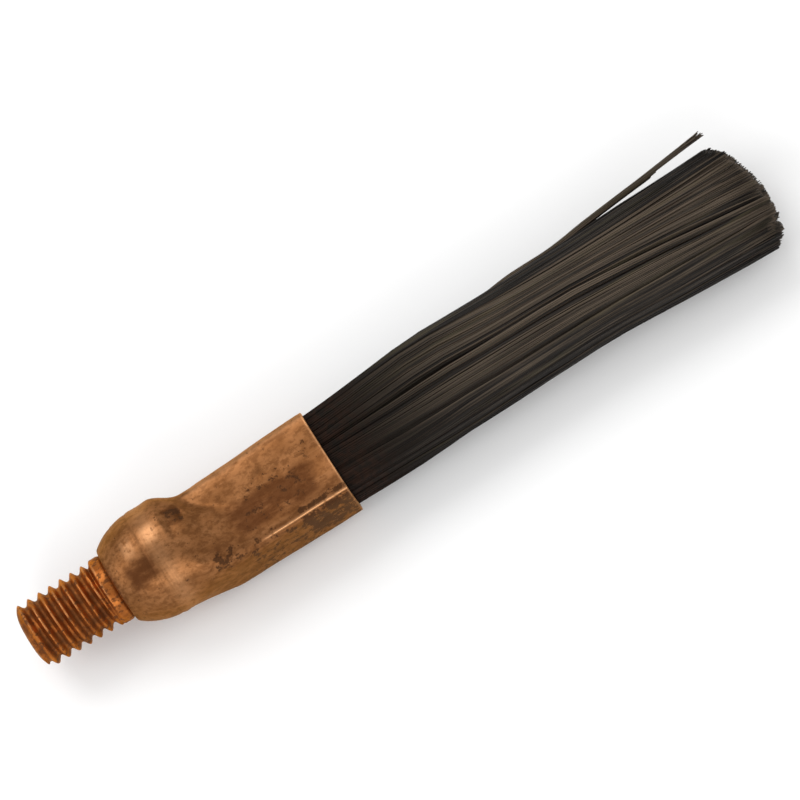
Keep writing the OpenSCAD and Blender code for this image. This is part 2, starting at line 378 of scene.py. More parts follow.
def ferrule_stain(points, x, angle):
    """Tarnish and painted shade from 0 to 1: soft patches placed by x and by the side of the tube.
    """
    y, z = points[..., 1], points[..., 2]
    upper = smooth(z / 1.5)
    flat_patch = 0.95 * window(x, 11.4, 17.6, 2.2) * window(y, -2.7, -0.7, 1.1) * upper
    near_flat = 0.5 * window(x, 8.5, 20, 2) * window(y, -3.3, -2.4, 0.7) * upper
    near_side = 0.50 * window(x, 7, 20, 1.5) * smooth((-3.4 - y) / 0.5)
    far_side = 0.5 * window(x, 7, 19, 2) * smooth((y - 3.0) / 0.6)
    under = 0.6 * smooth(-z / 1.5) * (0.6 + 0.4 * ripple(x, angle, 9))
    # Painted shade: the dent is darkened.
    dent = 0.9 * window(x, 6.3, 7.3, 0.5) * window(y, 0.6, 1.9, 0.7) * upper
    # Painted reflection: a dark patch on the dome's near upper side stands for a dark reflection.
    dome_patch = 1.0 * window(x, 1.7, 3.3, 1.1) * window(y, -2.1, -1.0, 1.2) * upper
    dome = 0.35 * window(x, 0.8, 3.4, 0.7) * (0.55 + 0.45 * ripple(x, angle, 12, longest=5))
    far_line = 0.75 * window(x, 8.5, 18.5, 1) * window(y, 2.62, 2.72, 0.2) * upper
    far_line = far_line * (0.5 + 0.5 * ripple(x, 0, 31, longest=5))
    lip = 0.6 * window(x, -1, 0.2, 0.25)
    # Painted shade: the ring groove on the dome is darkened.
    groove = 0.5 * window(x, 3.33, 3.43, 0.15)
    parts = [flat_patch, near_flat, near_side, far_side, far_line, under, dent,
             dome_patch, dome, lip, groove]
    # Stain is cleared along the near crease, so its painted highlight stays bright.
    return strongest(parts, y) * (1 - near_line(angle, 0) * crease_share(x))


def ferrule_soot(points, x, angle):
    """Soot from 0 to 1: by the mouth, the near side, thinly elsewhere; painted shade in the dent.
    """
    y, z = points[..., 1], points[..., 2]
    seen = smooth((z + 2.5) / 1.5)
    by_mouth = 0.62 * window(x, 16.0, 20, 0.8) * smooth((-3.3 - y) / 0.4) * seen
    near_side = 0.36 * window(x, 11, 20, 2) * smooth((-3.4 - y) / 0.5)
    low = 0.44 * window(x, 8.2, 9.8, 1.0) * window(y, -4.3, -3.5, 0.6) * seen
    # Painted shade: the dent is darkened.
    dent = 0.46 * window(x, 6.5, 7.3, 0.6) * window(y, 0.7, 1.6, 0.7) * seen
    flat = 0.27 * window(x, 12, 17.6, 1.5) * window(y, -2.4, 0.4, 1) * seen
    speckle = 0.12 + 0.10 * ripple(x, angle, 41)
    parts = [by_mouth, near_side, low, dent, flat, speckle]
    # Soot is cleared along the near crease, so its painted highlight stays bright.
    return strongest(parts, y) * (1 - near_line(angle, 0) * crease_share(x))


def ferrule_wear(points, x, angle, inset):
    """Rubbed metal on corners and mouth's edge, painted highlights on near crease and dome, 0 to 1.
    """
    y, z = points[..., 1], points[..., 2]
    ridges = [np.exp(-(angle_apart(angle, np.radians(at)) / 0.10) ** 2) for at in CORNERS]
    corner = 0.4 * sum(ridges) * smooth((x - 7.5) / 2)
    # Painted highlight: a bright line along the near upper crease.
    crease = near_line(angle, 0) * crease_share(x)
    edge = 0.7 * smooth((x - tube_end + 0.25) / 0.2) + 0 * angle
    # Painted highlights: two bright spots on top of the dome.
    spot = 0.62 * window(x, 4.3, 4.7, 0.9) * window(y, 0.5, 1.1, 1.3) * smooth(z / 1.5)
    small_spot = 0.5 * window(x, 2.3, 2.5, 0.7) * window(y, 0.4, 0.8, 1.2) * smooth(z / 1.5)
    shoulder = 0.3 * np.exp(-((x - 4.5) / 0.8) ** 2) + 0 * angle
    return strongest([corner, crease, edge, spot, small_spot, shoulder], y) * (inset < WALL)


stain = ferrule_stain(shell, row_x, angles)
stain = np.where(row_inset >= WALL, 1.0, stain)
soot = ferrule_soot(shell, row_x, angles)
worn = ferrule_wear(shell, row_x, angles, row_inset)
sleeve = grid_faces(len(row_x), AROUND, wrap_rows=True)
ferrule_shell = make_piece("ferrule_shell", shell.reshape(-1, 3), [sleeve],
                           tarnish=stain, soot=soot, worn=worn)
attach(ferrule_shell, "root")
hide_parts("ferrule")
print("ferrule_shell:", len(sleeve), "faces, stained share %.2f" % stain.mean())

# %% [markdown]
# ## The stud's spiral thread
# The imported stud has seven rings, which is enough to fit and to collide. The real thread is one
# groove that climbs around the stud. It can be seen as a height over the plane of x and the
# angle: the height depends only on how far a point is from the crest line, and the crest line
# moves by one pitch for each turn. So a grid of heights makes the whole thread, with its run-out
# into the collar and its worn crests, in one formula.

# %% Profile of the thread
THREAD_DEPTH = 0.56 * PITCH
CREST_TURN = 0.204
THREAD_ROUNDING = 0.20
COLLAR = -0.9
BLUNT = 0.06


def thread_drop(x, angle):
    """Depth below the crests: flat crest, straight 60 degree flank, flat root, all rounded."""
    turns = x / PITCH - angle / (2 * np.pi) - CREST_TURN
    apart = np.abs(turns - np.round(turns))
    slope = (apart - 1 / 16) / (3 / 8 - 1 / 16)
    soft = THREAD_ROUNDING
    flank = np.clip(slope, 0, 1)
    at_crest, at_root = np.exp(-(slope / soft) ** 2), np.exp(-((slope - 1) / soft) ** 2)
    rounded = flank + soft * 0.35 * (at_crest - at_root)
    return THREAD_DEPTH * np.clip(rounded, 0, 1)


def stud_radius(x, angle):
    """The stud's radius: the thread, cut off by the nose and fading into the collar."""
    run_out = 1 - smooth((x - COLLAR + 0.45) / 0.45)
    crest_wear = 0.05 * (1 + ripple(x, angle, 21, longest=2.5)) * run_out
    nicks = 0.16 * np.clip(ripple(x, 3 * angle, 23, longest=1.6) - 0.55, 0, 1) * run_out
    drop = thread_drop(x, angle) * run_out
    threaded = crest_r - drop - (crest_wear + nicks) * (1 - drop / THREAD_DEPTH)
    from_nose = np.clip((x - stud_start) / 0.95, 0, 1)
    nose = mix(1.55, crest_r + 0.12, (1 - (1 - from_nose) ** 2.2) ** 0.75)
    return -BLUNT * np.logaddexp(-threaded / BLUNT, -nose / BLUNT)


# %% [markdown]
# The rows of the stud run from the middle of its nose, out over the edge of the turned face,
# along the thread and the collar, through the lip of the dome and over the head that the dome
# grips. The first and the last row meet in a single point, so the solid is closed.

# %% Build the stud
STUD_AROUND = 208
LIP_GAP = 0.03


def stud_grid():
    """The stud's points row by row, and how deep in the thread each lies plus painted shade, 0 to
    1.
    """
    angle = np.linspace(0, 2 * np.pi, STUD_AROUND, endpoint=False)[None]
    along = np.linspace(stud_start, COLLAR, 215)[:, None]
    thread = stud_radius(along, angle)
    face_share = np.array([0.12, 0.3, 0.5, 0.68, 0.84, 0.94])[:, None]
    face_x = stud_start + 0.05 * (1 - face_share ** 6) + 0 * angle
    face_r = face_share * thread[:1]
    collar_x = np.array([-0.75, -0.55, -0.35, -0.22, -0.12, -0.05, 0.02])[:, None]
    collar_r = crest_r - np.array([0.02, 0.01, 0.01, 0.04, 0.08, 0.12, 0.13])[:, None] + 0 * angle
    head_x = np.linspace(0.4, head_end, 22)[:, None]
    head_r = dome_radius(head_x) - WALL - LIP_GAP + 0 * angle
    back_share = np.array([0.96, 0.7, 0.35])[:, None]
    x = np.concatenate([face_x, along + 0 * angle, collar_x + 0 * angle, head_x + 0 * angle,
                        head_end + 0.02 + 0 * back_share + 0 * angle])
    radius = np.concatenate([face_r, thread, collar_r, head_r, back_share * head_r[-1:]])
    depth = np.zeros_like(x)
    depth[len(face_share):len(face_share) + len(along)] = (crest_r - thread) / THREAD_DEPTH
    depth[len(face_share) + len(along):] = 0.35
    # Painted shade: points on the stud's near side count as deeper, so the finish makes them
    # darker.
    depth = depth + 0.3 * smooth((-radius * np.cos(angle) - 0.8) / 1.5)
    points = np.stack([x, radius * np.cos(angle), radius * np.sin(angle)], axis=-1)
    return points, np.clip(depth, 0, 1)


def close_ends(points):
    """The points with one more in the middle of each end, and the triangles that close it."""
    rows, columns = points.shape[:2]
    first, last = rows * columns, rows * columns + 1
    here = np.arange(columns)
    after = (here + 1) % columns
    start = np.stack([0 * here + first, after, here], axis=-1)
    back = (rows - 1) * columns
    end = np.stack([0 * here + last, here + back, after + back], axis=-1)
    middles = np.stack([points[0].mean(axis=0), points[-1].mean(axis=0)])
    return np.concatenate([points.reshape(-1, 3), middles]), [start, end]


stud_points, thread_depth = stud_grid()
flat_points, caps = close_ends(stud_points)
stud_body = make_piece("stud_body", flat_points, [grid_faces(*stud_points.shape[:2])] + caps,
                       groove=np.append(thread_depth.ravel(), [0, 0]))
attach(stud_body, "root")
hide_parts("threaded_stud")
print("stud_body:", len(stud_body.data.polygons), "faces, radius at the crests %.2f" % crest_r)

# %% [markdown]
# ## The tuft
# A tow is a flat bundle of thousands of filaments, and size holds groups of them together as
# strands. The brush shows the strands: fine parallel lines, darker seams where two tows meet, and
# a ragged tip. Hair curves would be quick, but they can't be exported as a surface, and a grooved
# block would look solid at the tip. So every strand is a thin five-sided tube of its own, three
# or four hundred in each tow, and every tow is one piece.
#
# First comes the envelope. It leaves the mouth at the barrel's inner size, settles, then flares
# to the tip. A strand keeps its place (u, v) in a square from -1 to 1, and the square is drawn in
# to the section.

# %% Envelope of the tuft
BUNDLE_CLEAR = 0.04
FAR_SWELL = 0.17
TIP_SWELL = 0.12


def tuft_section(x):
    """Centre y and z, half width, half thickness and exponent of the bundle at x."""
    held = tube_section(np.minimum(x, tube_end), WALL + BUNDLE_CLEAR)
    out = x - tube_end
    settled = smooth(out / SETTLE)
    flare = smooth((out - FLARE) / (tuft_length - FLARE))
    free = [DRIFT * (smooth(out / DRIFT_LENGTH) - DRIFT_START), -0.2 - 0.3 * flare,
            mix(TUFT_W, TIP_W, flare) / 2, mix(TUFT_T, TIP_T, flare) / 2, TUFT_POWER]
    section = [mix(inner, outer, settled) for inner, outer in zip(held, free)]
    swell = FAR_SWELL * window(out, 3.5, 9, 10)
    section[0] = section[0] + swell
    section[2] = section[2] + swell + TIP_SWELL * smooth((out - 24) / 8)
    return section


def in_section(u, v, x):
    """The point at x for the place (u, v): the square is drawn in to the superellipse."""
    centre_y, centre_z, half_w, half_t, power = tuft_section(x)
    largest = np.maximum(np.maximum(np.abs(u), np.abs(v)), 1e-6)
    drawn_in = largest / ((np.abs(u) + 1e-9) ** power + (np.abs(v) + 1e-9) ** power) ** (1 / power)
    return centre_y + half_w * u * drawn_in, centre_z + half_t * v * drawn_in


def tip_at(u, v):
    """Where the strand at (u, v) ends: outer ones are shorter, far ones most of all."""
    return tip_end - TIP_ROUND * (((u + 0.17) ** 2 + 0.3 * v * v) / 1.5) ** 1.5


side = in_section(np.array([-1.0, 1.0]), np.zeros(2), np.array([tip_end - 5] * 2))[0]
print("tuft 5 mm from its tip: y from %.2f to %.2f mm" % tuple(side))

# %% [markdown]
# The tows don't run quite straight. On the upper side the seam between the middle tows wanders
# towards the near edge, and the far tow, pinched at the mouth, opens out. Three seams are moved
# by a few listed places along the tuft, and every strand between them moves in proportion. The
# shift fades towards the underside.

# %% Wandering seams of the upper layer
SEAM_AT = np.array([0.0, 0.10, 0.25, 0.34, 0.45, 0.55, 0.75, 1.0])
SEAM_PLACE = {1: np.array([-0.56, -0.60, -0.70, -0.77, -0.80, -0.80, -0.80, -0.79]),
              2: np.array([0.12, 0.10, 0.06, 0.03, 0.00, -0.03, -0.16, -0.44]),
              3: np.array([0.88, 0.90, 0.88, 0.78, 0.66, 0.59, 0.55, 0.57])}


def wander_seams(u, v, x):
    """u moved with the nearest seams: a seam's shift falls evenly to 0 at its neighbours."""
    share = np.clip((x - tube_end) / tuft_length, 0, 1)
    upper = smooth((v + 0.1) / 1.0)
    moved = u
    for seam, places in SEAM_PLACE.items():
        left, here, right = COLUMN_EDGES[seam - 1:seam + 2]
        near = np.clip(np.minimum((u - left) / (here - left), (right - u) / (right - here)), 0, 1)
        moved = moved + near * upper * (np.interp(share, SEAM_AT, places) - here)
    return moved


# %% [markdown]
# Inside a tow, strands stand on a jittered honeycomb. The cell's corners are rounded, so that a
# groove is left where tows meet. Strands cling to one of a few clumps, which tightens them and
# opens hairline gaps. Each clump and each strand then sways a little along its length, and the
# ends fan out and are cut unevenly.

# %% Places of the strands in one tow
STRAND_PITCH = 0.098
STRAND_R = 0.060
STRAND_JITTER = 0.34
HONEYCOMB = 0.866
CELL_POWER = 7
CLUMPS = 6


def strand_spots(number):
    """Places a and b in the cell, from -1 to 1, and the cell's middle and half size."""
    column, layer = (number - 1) % 4, (number - 1) // 4
    u_low, u_high = COLUMN_EDGES[column:column + 2]
    v_low, v_high = LAYER_EDGES[layer:layer + 2]
    half_u = (u_high - u_low) / 2 - STRAND_R / (TUFT_W / 2)
    half_v = (v_high - v_low) / 2 - STRAND_R / (TUFT_T / 2)
    step_a = STRAND_PITCH / (half_u * TUFT_W / 2)
    step_b = STRAND_PITCH * HONEYCOMB / (half_v * TUFT_T / 2)
    rows = np.arange(-1, 1 + step_b, step_b)
    a, b = np.meshgrid(np.arange(-1, 1 + step_a, step_a), rows)
    a = a + step_a / 2 * (np.arange(len(rows)) % 2)[:, None]
    a = (a + rng.normal(0, STRAND_JITTER * step_a, a.shape)).ravel()
    b = (b + rng.normal(0, STRAND_JITTER * step_b, b.shape)).ravel()
    inside = np.abs(a) ** CELL_POWER + np.abs(b) ** CELL_POWER <= 1.08
    middle = ((u_low + u_high) / 2, (v_low + v_high) / 2)
    return a[inside], b[inside], middle, (half_u, half_v)


counts = [len(strand_spots(number)[0]) for number in (1, 3)]
print("strands in a narrow and in a wide tow:", counts)

# %% [markdown]
# The centre lines are arrays with one row per strand and one column per ring of the tube. The
# first rings lie inside the barrel, where the strands run straight back to the stud's head. The
# rest are spread evenly to each strand's own end.

# %% Centre lines of the strands
HELD_X = np.array([head_end + 0.25, CRIMP_X, 14.6, tube_end - 0.4])
FREE_RINGS = 15
GATHER = 0.15


def clump_middle(places, near):
    """For each strand, the mean place of all the strands that cling to the same clump."""
    means = [places[near == k].mean() if (near == k).any() else 0 for k in range(CLUMPS)]
    return np.array(means)[near][:, None]


def strand_tone(number, a, b, u0, near, between):
    """Tone from 0 to 1 for the tow, clump and strand, with painted shade at edges, sides and gaps.
    """
    tow_tone = rng.uniform(-0.10, 0.10) + (0.14 if number == 15 else 0)
    # Painted shade: strands at the tow's edges, along the tuft's near and far sides and in the gaps
    # between clumps are made darker.
    edge = smooth((np.maximum(np.abs(a), np.abs(b)) - 0.88) / 0.12)
    outer = np.maximum(smooth((-u0 - 0.78) / 0.2), 0.8 * smooth((u0 - 0.58) / 0.34))
    tone = 0.58 + tow_tone + rng.uniform(-0.14, 0.14, CLUMPS)[near] + rng.normal(0, 0.14, len(a))
    return np.clip(tone - 0.40 * edge - 0.30 * outer - 0.42 * between, 0, 1)


def strand_lines(number):
    """Centre lines in millimetres, and the tone of each strand with its painted shade."""
    a, b, middle, half = strand_spots(number)
    count = len(a)
    from_a = a[:, None] - rng.uniform(-0.9, 0.9, CLUMPS)
    from_b = b[:, None] - rng.uniform(-0.9, 0.9, CLUMPS)
    away = np.hypot(from_a, 0.77 * from_b)
    near = np.argmin(away, axis=1)
    two_nearest = np.sort(away, axis=1)[:, :2]
    # How close a strand lies to the gap between two clumps; the tone darkens it there as painted
    # shade.
    between = 1 - smooth((two_nearest[:, 1] - two_nearest[:, 0]) / 0.12)
    clump_a, clump_b = clump_middle(a, near), clump_middle(b, near)
    pull = rng.uniform(0.0, 0.06, CLUMPS)[near][:, None]
    phase = rng.uniform(0, 2 * np.pi, (4, CLUMPS))[:, near][..., None]
    own_phase = rng.uniform(0, 2 * np.pi, (2, count, 1))
    own_length = rng.uniform(9, 24, (2, count, 1))
    u0, v0 = middle[0] + half[0] * a, middle[1] + half[1] * b
    ragged = rng.exponential(0.22, count) + rng.uniform(0, 0.6, CLUMPS)[near]
    notch = 1.2 * np.exp(-((u0 + 0.66) / 0.05) ** 2)
    end = (tip_at(u0, v0) - ragged - notch)[:, None]
    spread = np.linspace(0, 1, FREE_RINGS)[None]
    held = np.broadcast_to(HELD_X, (count, len(HELD_X)))
    x = np.concatenate([held, mix(tube_end + 0.5, end, spread)], axis=1)
    out = x - tube_end
    free = smooth(out / 5)
    tight = pull * free * (1 + 0.5 * np.sin(2 * np.pi * x / 27 + phase[0]))
    sway_a = 0.035 * np.sin(2 * np.pi * x / 31 + phase[1])
    sway_a = free * (sway_a + 0.02 * np.sin(2 * np.pi * x / 17 + phase[2]))
    sway_b = free * 0.03 * np.sin(2 * np.pi * x / 23 + phase[3])
    u = middle[0] + half[0] * (mix(a[:, None], clump_a, tight) + sway_a)
    v = middle[1] + half[1] * (mix(b[:, None], clump_b, tight) + sway_b)
    u = wander_seams(u, v, x)
    gather = 1 - GATHER * (1 - smooth((x - CRIMP_X) / (HELD_X[2] - CRIMP_X)))
    y, z = in_section(gather * np.clip(u, -1, 1), gather * np.clip(v, -1, 1), x)
    fan = np.clip((x - end + 7) / 7, 0, 1) ** 2
    own = 0.022 * free * np.sin(2 * np.pi * x / own_length + own_phase)
    y = y + own[0] + fan * rng.normal(0, 0.07, (count, 1))
    z = z + own[1] + fan * rng.normal(0, 0.06, (count, 1))
    return np.stack([x, y, z], axis=-1), strand_tone(number, a, b, u0, near, between)


# %% [markdown]
# A strand's tube has five sides and a flat cap at each end. Because the strands run nearly along
# x, a ring can stay upright in the plane of y and z. Each strand gets its own thickness and its
# own turn of the ring, so that the light doesn't break into regular lines.

# %% From centre lines to tubes
SIDES = 5


def strand_tubes(name, lines, thickness, tone):
    """One piece with a closed tube along each line, of the given radius at each ring."""
    count, rings = lines.shape[:2]
    start_turn = rng.uniform(0, 2 * np.pi, (count, 1, 1))
    turn = start_turn + 2 * np.pi * np.arange(SIDES) / SIDES
    radius = thickness[..., None]
    points = np.repeat(lines[:, :, None, :], SIDES, axis=2)
    points[..., 1] += radius * np.cos(turn)
    points[..., 2] += radius * np.sin(turn)
    one = grid_faces(rings, SIDES)
    shift = (np.arange(count) * rings * SIDES)[:, None, None]
    walls = (one[None] + shift).reshape(-1, 4)
    ring = np.arange(SIDES)
    first = ring[::-1][None] + shift[:, 0]
    last = ring[None] + (rings - 1) * SIDES + shift[:, 0]
    tones = np.broadcast_to(tone[:, None, None], points.shape[:3])
    return make_piece(name, points.reshape(-1, 3), [walls, first, last], tone=tones)


def strand_thickness(count, rings, middle):
    """Radii near the middle value, each strand a little different, thinner at the cut end."""
    radius = middle * rng.uniform(0.82, 1.18, (count, 1))
    thin = np.ones(rings)
    thin[-1] = 0.72
    return radius * thin


# %% [markdown]
# The imported model has a hinge where the tuft leaves the mouth, and real fibres there don't fold:
# they curve more and more towards their tips. Each piece of the tuft takes the place of its
# imported nodes, which are hidden.


def bend_with_tuft(piece, *nodes):
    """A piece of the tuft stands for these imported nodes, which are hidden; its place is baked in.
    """
    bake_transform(piece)
    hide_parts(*nodes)


tow_pieces = []
for number in range(1, 17):
    lines, tone = strand_lines(number)
    radii = strand_thickness(len(lines), lines.shape[1], STRAND_R)
    tow = strand_tubes("carbon_tow_%02d" % number, lines, radii, tone)
    bend_with_tuft(tow, "tow_%02d" % number, "tow_%02d_held" % number)
    tow_pieces.append(tow)
print("tows:", len(tow_pieces), "faces:", sum(len(tow.data.polygons) for tow in tow_pieces))

# %% [markdown]
# Two loose strands stand off the far side of the tuft. Each is a small bundle of the same thin
# tubes around one path, tight where it leaves the tuft and slightly frayed at its end.

# %% Build the loose strands
def loose_strand(name, node, diameter, v, start, parts, ends, lift, rise, count):
    """A bundle along the tuft's far side. start, parts and ends are shares of its length."""
    at = np.linspace(start, ends, 30)[None]
    x = tube_end + tuft_length * at
    y, z = in_section(np.ones_like(x), v + 0 * x, x)
    away = lift * np.clip((at - parts) / (ends - parts), 0, None) ** 1.2
    thickness = mix(0.55, 1.0, smooth((at - start) * tuft_length / 6))
    tucked = mix(0.62 * diameter, 0.1 * diameter, smooth((at - parts + 0.06) / 0.12))
    tucked = tucked + 0.5 * (1 - smooth((at - start) / 0.16))
    y = y + diameter / 2 - tucked + away
    z = z + rise * away
    reach = (np.sqrt((np.arange(count) + 0.5) / count) * (diameter / 2 - 0.05))[:, None]
    turn = (np.arange(count) * 2.4)[:, None]
    twist = turn + 0.12 * (x - x[:, :1])
    fray = 1 + 0.45 * np.clip((at - ends + 0.12) / 0.12, 0, 1) ** 2
    end_cut = x[:, -1:] - rng.exponential(0.5, (count, 1))
    line_y = y + reach * thickness * fray * np.cos(twist)
    line_z = z + reach * thickness * fray * np.sin(twist)
    lines = np.stack([np.minimum(x, end_cut + (x - x[:, -1:]) * 0.02), line_y, line_z], axis=-1)
    radii = strand_thickness(count, x.shape[1], 0.058)
    piece = strand_tubes(name, lines, radii, rng.uniform(0.3, 0.7, count))
    bend_with_tuft(piece, node)
    print(name, "ends at %.1f mm, %d strands" % (lines[..., 0].max(), count))
    return piece


stray = loose_strand("stray_fibres", "stray_strand", 0.5, 0.55, 0.34, 0.607, 0.955, 0.95, 0.25, 15)
split = loose_strand("split_fibres", "split_strand", 0.34, 0.40, 0.413, 0.640, 0.837, 0.45, 0.3, 7)

# %% [markdown]
# ## Finishes
# Each finish is a tree of nodes. Patterns read the object's own coordinates, scaled to
# millimetres, or the numbers that were stored on the points, so they stay on the piece wherever
# the camera stands. A small helper class keeps the trees short: it adds a node, sets its fields
# and links its inputs.

# %% A helper for node trees
class Finish:
    """A material under construction. Each method adds one node and returns its output."""

    def __init__(self, name):
        self.material = bpy.data.materials.new(name)
        self.material.use_nodes = True
        self.tree = self.material.node_tree
        self.shader = self.tree.nodes["Principled BSDF"]

    def add(self, kind, output, fields=None, **inputs):
        """A node with plain fields and inputs, each a number, a colour or another node's output."""
        node = self.tree.nodes.new(kind)
        for field, value in (fields or {}).items():
            setattr(node, field, value)
        for socket, value in inputs.items():
            self.join(node.inputs[int(socket[1:]) if socket[1:].isdigit() else socket], value)
        return node.outputs[output]

    def join(self, socket, value):
        """Links an output to the socket, or sets the socket to the value."""
        if isinstance(value, bpy.types.NodeSocket):
            self.tree.links.new(value, socket)
        else:
            socket.default_value = value

    def millimetres(self, stretch=(1, 1, 1)):
        """The object's own coordinates in millimetres, squeezed or stretched along each axis."""
        place = self.add("ShaderNodeTexCoord", "Object")
        scale = [part / MM for part in stretch]
        return self.add("ShaderNodeMapping", "Vector", Vector=place, Scale=scale)

    def noise(self, scale, detail=4, stretch=(1, 1, 1), roughness=0.55):
        """Noise with that many patches in a millimetre."""
        return self.add("ShaderNodeTexNoise", "Fac", Vector=self.millimetres(stretch),
                        Scale=scale, Detail=detail, Roughness=roughness)

    def stored(self, name):
        """A number that was stored on the points of the mesh."""
        return self.add("ShaderNodeAttribute", "Fac", {"attribute_name": name})

    def steps(self, value, low, high):
        """0 below low, 1 above high and a smooth rise between them."""
        return self.add("ShaderNodeMapRange", "Result", {"interpolation_type": "SMOOTHSTEP"},
                        Value=value, i1=low, i2=high)

    def surface(self, title, value):
        """Gives one of the shader's own sockets a number, a colour or a pattern."""
        self.join(self.shader.inputs[title], value)

    def maths(self, operation, a, b):
        """a and b put together by the operation."""
        return self.add("ShaderNodeMath", "Value", {"operation": operation}, i0=a, i1=b)

    def times(self, a, b):
        """a multiplied by b."""
        return self.maths("MULTIPLY", a, b)

    def plus(self, a, b):
        """The sum of a and b."""
        return self.maths("ADD", a, b)

    def minus(self, a, b):
        """a less b."""
        return self.maths("SUBTRACT", a, b)

    def blend(self, share, a, b):
        """Colour a where the share is 0 and b where it is 1."""
        return self.add("ShaderNodeMix", 2, {"data_type": "RGBA"}, i0=share, i6=a, i7=b)

    def mixed(self, share, a, b):
        """Number a where the share is 0 and b where it is 1."""
        return self.add("ShaderNodeMix", 0, {"data_type": "FLOAT"}, i0=share, i2=a, i3=b)


# %% [markdown]
# ### Ferrule copper
# Old copper is seldom one colour. Clean metal is orange-pink, handled metal is browner, and dark
# oxide sits in patches with a speckled edge. Long faint streaks follow the drawn tube, and rubbed
# corners are clean. The oxide is duller and less like metal, so it lowers the metallic value and
# raises the roughness together. The stored numbers also carry painted light: the clean colour is
# used for painted highlights on the near crease and the dome, and the oxide and soot colours for
# painted shade in the dent and the ring groove and a painted dark reflection on the dome.

# %% Make the ferrule's finish
def ferrule_finish():
    """Aged copper: clouds, streaks, wear, tarnish and soot, with painted highlights and shade."""
    f = Finish("ferrule_copper_aged")
    clouds = f.noise(0.45, 3)
    mottle = f.noise(2.2, 6, (0.7, 1, 1), 0.68)
    streaks = f.noise(1.6, 5, (0.12, 1.6, 1.6), 0.6)
    grain = f.noise(9, 4, roughness=0.7)
    # The stored tarnish also holds painted shade and a painted dark reflection.
    tarnish = f.stored("tarnish")
    base = f.blend(f.steps(clouds, 0.35, 0.68), (0.285, 0.122, 0.046, 1), (0.215, 0.087, 0.030, 1))
    base = f.blend(f.times(f.steps(streaks, 0.45, 0.75), 0.4), base, (0.36, 0.165, 0.068, 1))
    base = f.blend(f.times(f.steps(mottle, 0.42, 0.62), 0.7), base, (0.130, 0.049, 0.016, 1))
    # Rubbed metal and painted highlights share this clean, bright copper colour.
    worn = f.times(f.stored("worn"), f.steps(f.noise(2.2, 4), 0.22, 0.50))
    base = f.blend(f.times(worn, 0.8), base, (0.66, 0.34, 0.16, 1))
    patches = f.noise(1.1, 6, (0.4, 1, 1), 0.66)
    toned = f.times(tarnish, f.steps(f.plus(patches, f.times(tarnish, 0.3)), 0.45, 0.85))
    base = f.blend(f.times(toned, 0.85), base, (0.085, 0.029, 0.010, 1))
    # The stored soot also holds painted shade in the dent.
    sooted = f.plus(f.noise(1.5, 6, roughness=0.72), f.times(f.stored("soot"), 0.42))
    specks = f.steps(sooted, 0.66, 0.73)
    dark = f.times(specks, f.minus(1.0, f.times(worn, 0.9)))
    brown = f.blend(f.steps(grain, 0.3, 0.7), (0.030, 0.011, 0.004, 1), (0.075, 0.026, 0.008, 1))
    f.surface("Base Color", f.blend(f.times(dark, 0.9), base, brown))
    f.surface("Metallic", f.mixed(dark, 1.0, 0.75))
    f.surface("Specular Tint", (1.0, 0.74, 0.50, 1))
    rough = f.plus(f.mixed(f.maths("MAXIMUM", dark, toned), 0.37, 0.52), f.times(grain, 0.12))
    f.surface("Roughness", f.minus(rough, f.times(worn, 0.10)))
    scratches = f.noise(3.0, 6, (0.25, 4, 4), 0.75)
    height = f.plus(f.times(scratches, 0.6), f.times(grain, 0.4))
    height = f.minus(height, f.times(dark, 0.25))
    bump = f.add("ShaderNodeBump", "Normal", Height=height, Strength=0.35, Distance=0.00004)
    f.surface("Normal", bump)
    return f.material


ferrule_shell.data.materials.append(ferrule_finish())
print("finish:", ferrule_shell.data.materials[0].name)

# %% [markdown]
# ### Stud copper
# The stud is turned from a harder, redder copper alloy. Its crests are rubbed to a bright orange,
# and old grease and oxide lie in the grooves. The stored depth of the thread says where; it is
# also raised on the stud's near side, so that side comes out darker as painted shade. Fine lines
# run round the stud, left by the cutting tool.

# %% Make the stud's finish
def stud_finish():
    """Turned copper: bright crests, groove dirt, painted shade on the near side, tool lines."""
    f = Finish("stud_copper_turned")
    clouds = f.noise(0.9, 4)
    grain = f.noise(8, 4, roughness=0.7)
    base = f.blend(f.steps(clouds, 0.35, 0.65), (0.42, 0.138, 0.032, 1), (0.27, 0.078, 0.017, 1))
    depth = f.stored("groove")
    dirt = f.times(f.steps(depth, 0.35, 1.0), f.steps(f.noise(1.1, 4), 0.32, 0.62))
    spots = f.times(f.steps(f.noise(2.0, 5, roughness=0.68), 0.50, 0.62), 0.85)
    dark = f.maths("MAXIMUM", f.times(dirt, 0.75), spots)
    crest = f.times(f.minus(1.0, f.steps(depth, 0.05, 0.35)), f.steps(clouds, 0.35, 0.6))
    base = f.blend(f.times(crest, 0.7), base, (0.58, 0.255, 0.095, 1))
    soil = f.blend(f.steps(grain, 0.3, 0.7), (0.030, 0.009, 0.003, 1), (0.100, 0.027, 0.007, 1))
    f.surface("Base Color", f.blend(dark, base, soil))
    f.surface("Metallic", f.mixed(dark, 1.0, 0.5))
    f.surface("Specular Tint", (1.0, 0.68, 0.40, 1))
    rough = f.plus(f.mixed(dark, 0.34, 0.58), f.times(grain, 0.12))
    f.surface("Roughness", rough)
    lines = f.noise(5.0, 4, (3, 0.3, 0.3), 0.7)
    height = f.plus(f.times(lines, 0.6), f.times(grain, 0.4))
    bump = f.add("ShaderNodeBump", "Normal", Height=height, Strength=0.3, Distance=0.00004)
    f.surface("Normal", bump)
    return f.material


stud_body.data.materials.append(stud_finish())
print("finish:", stud_body.data.materials[0].name)
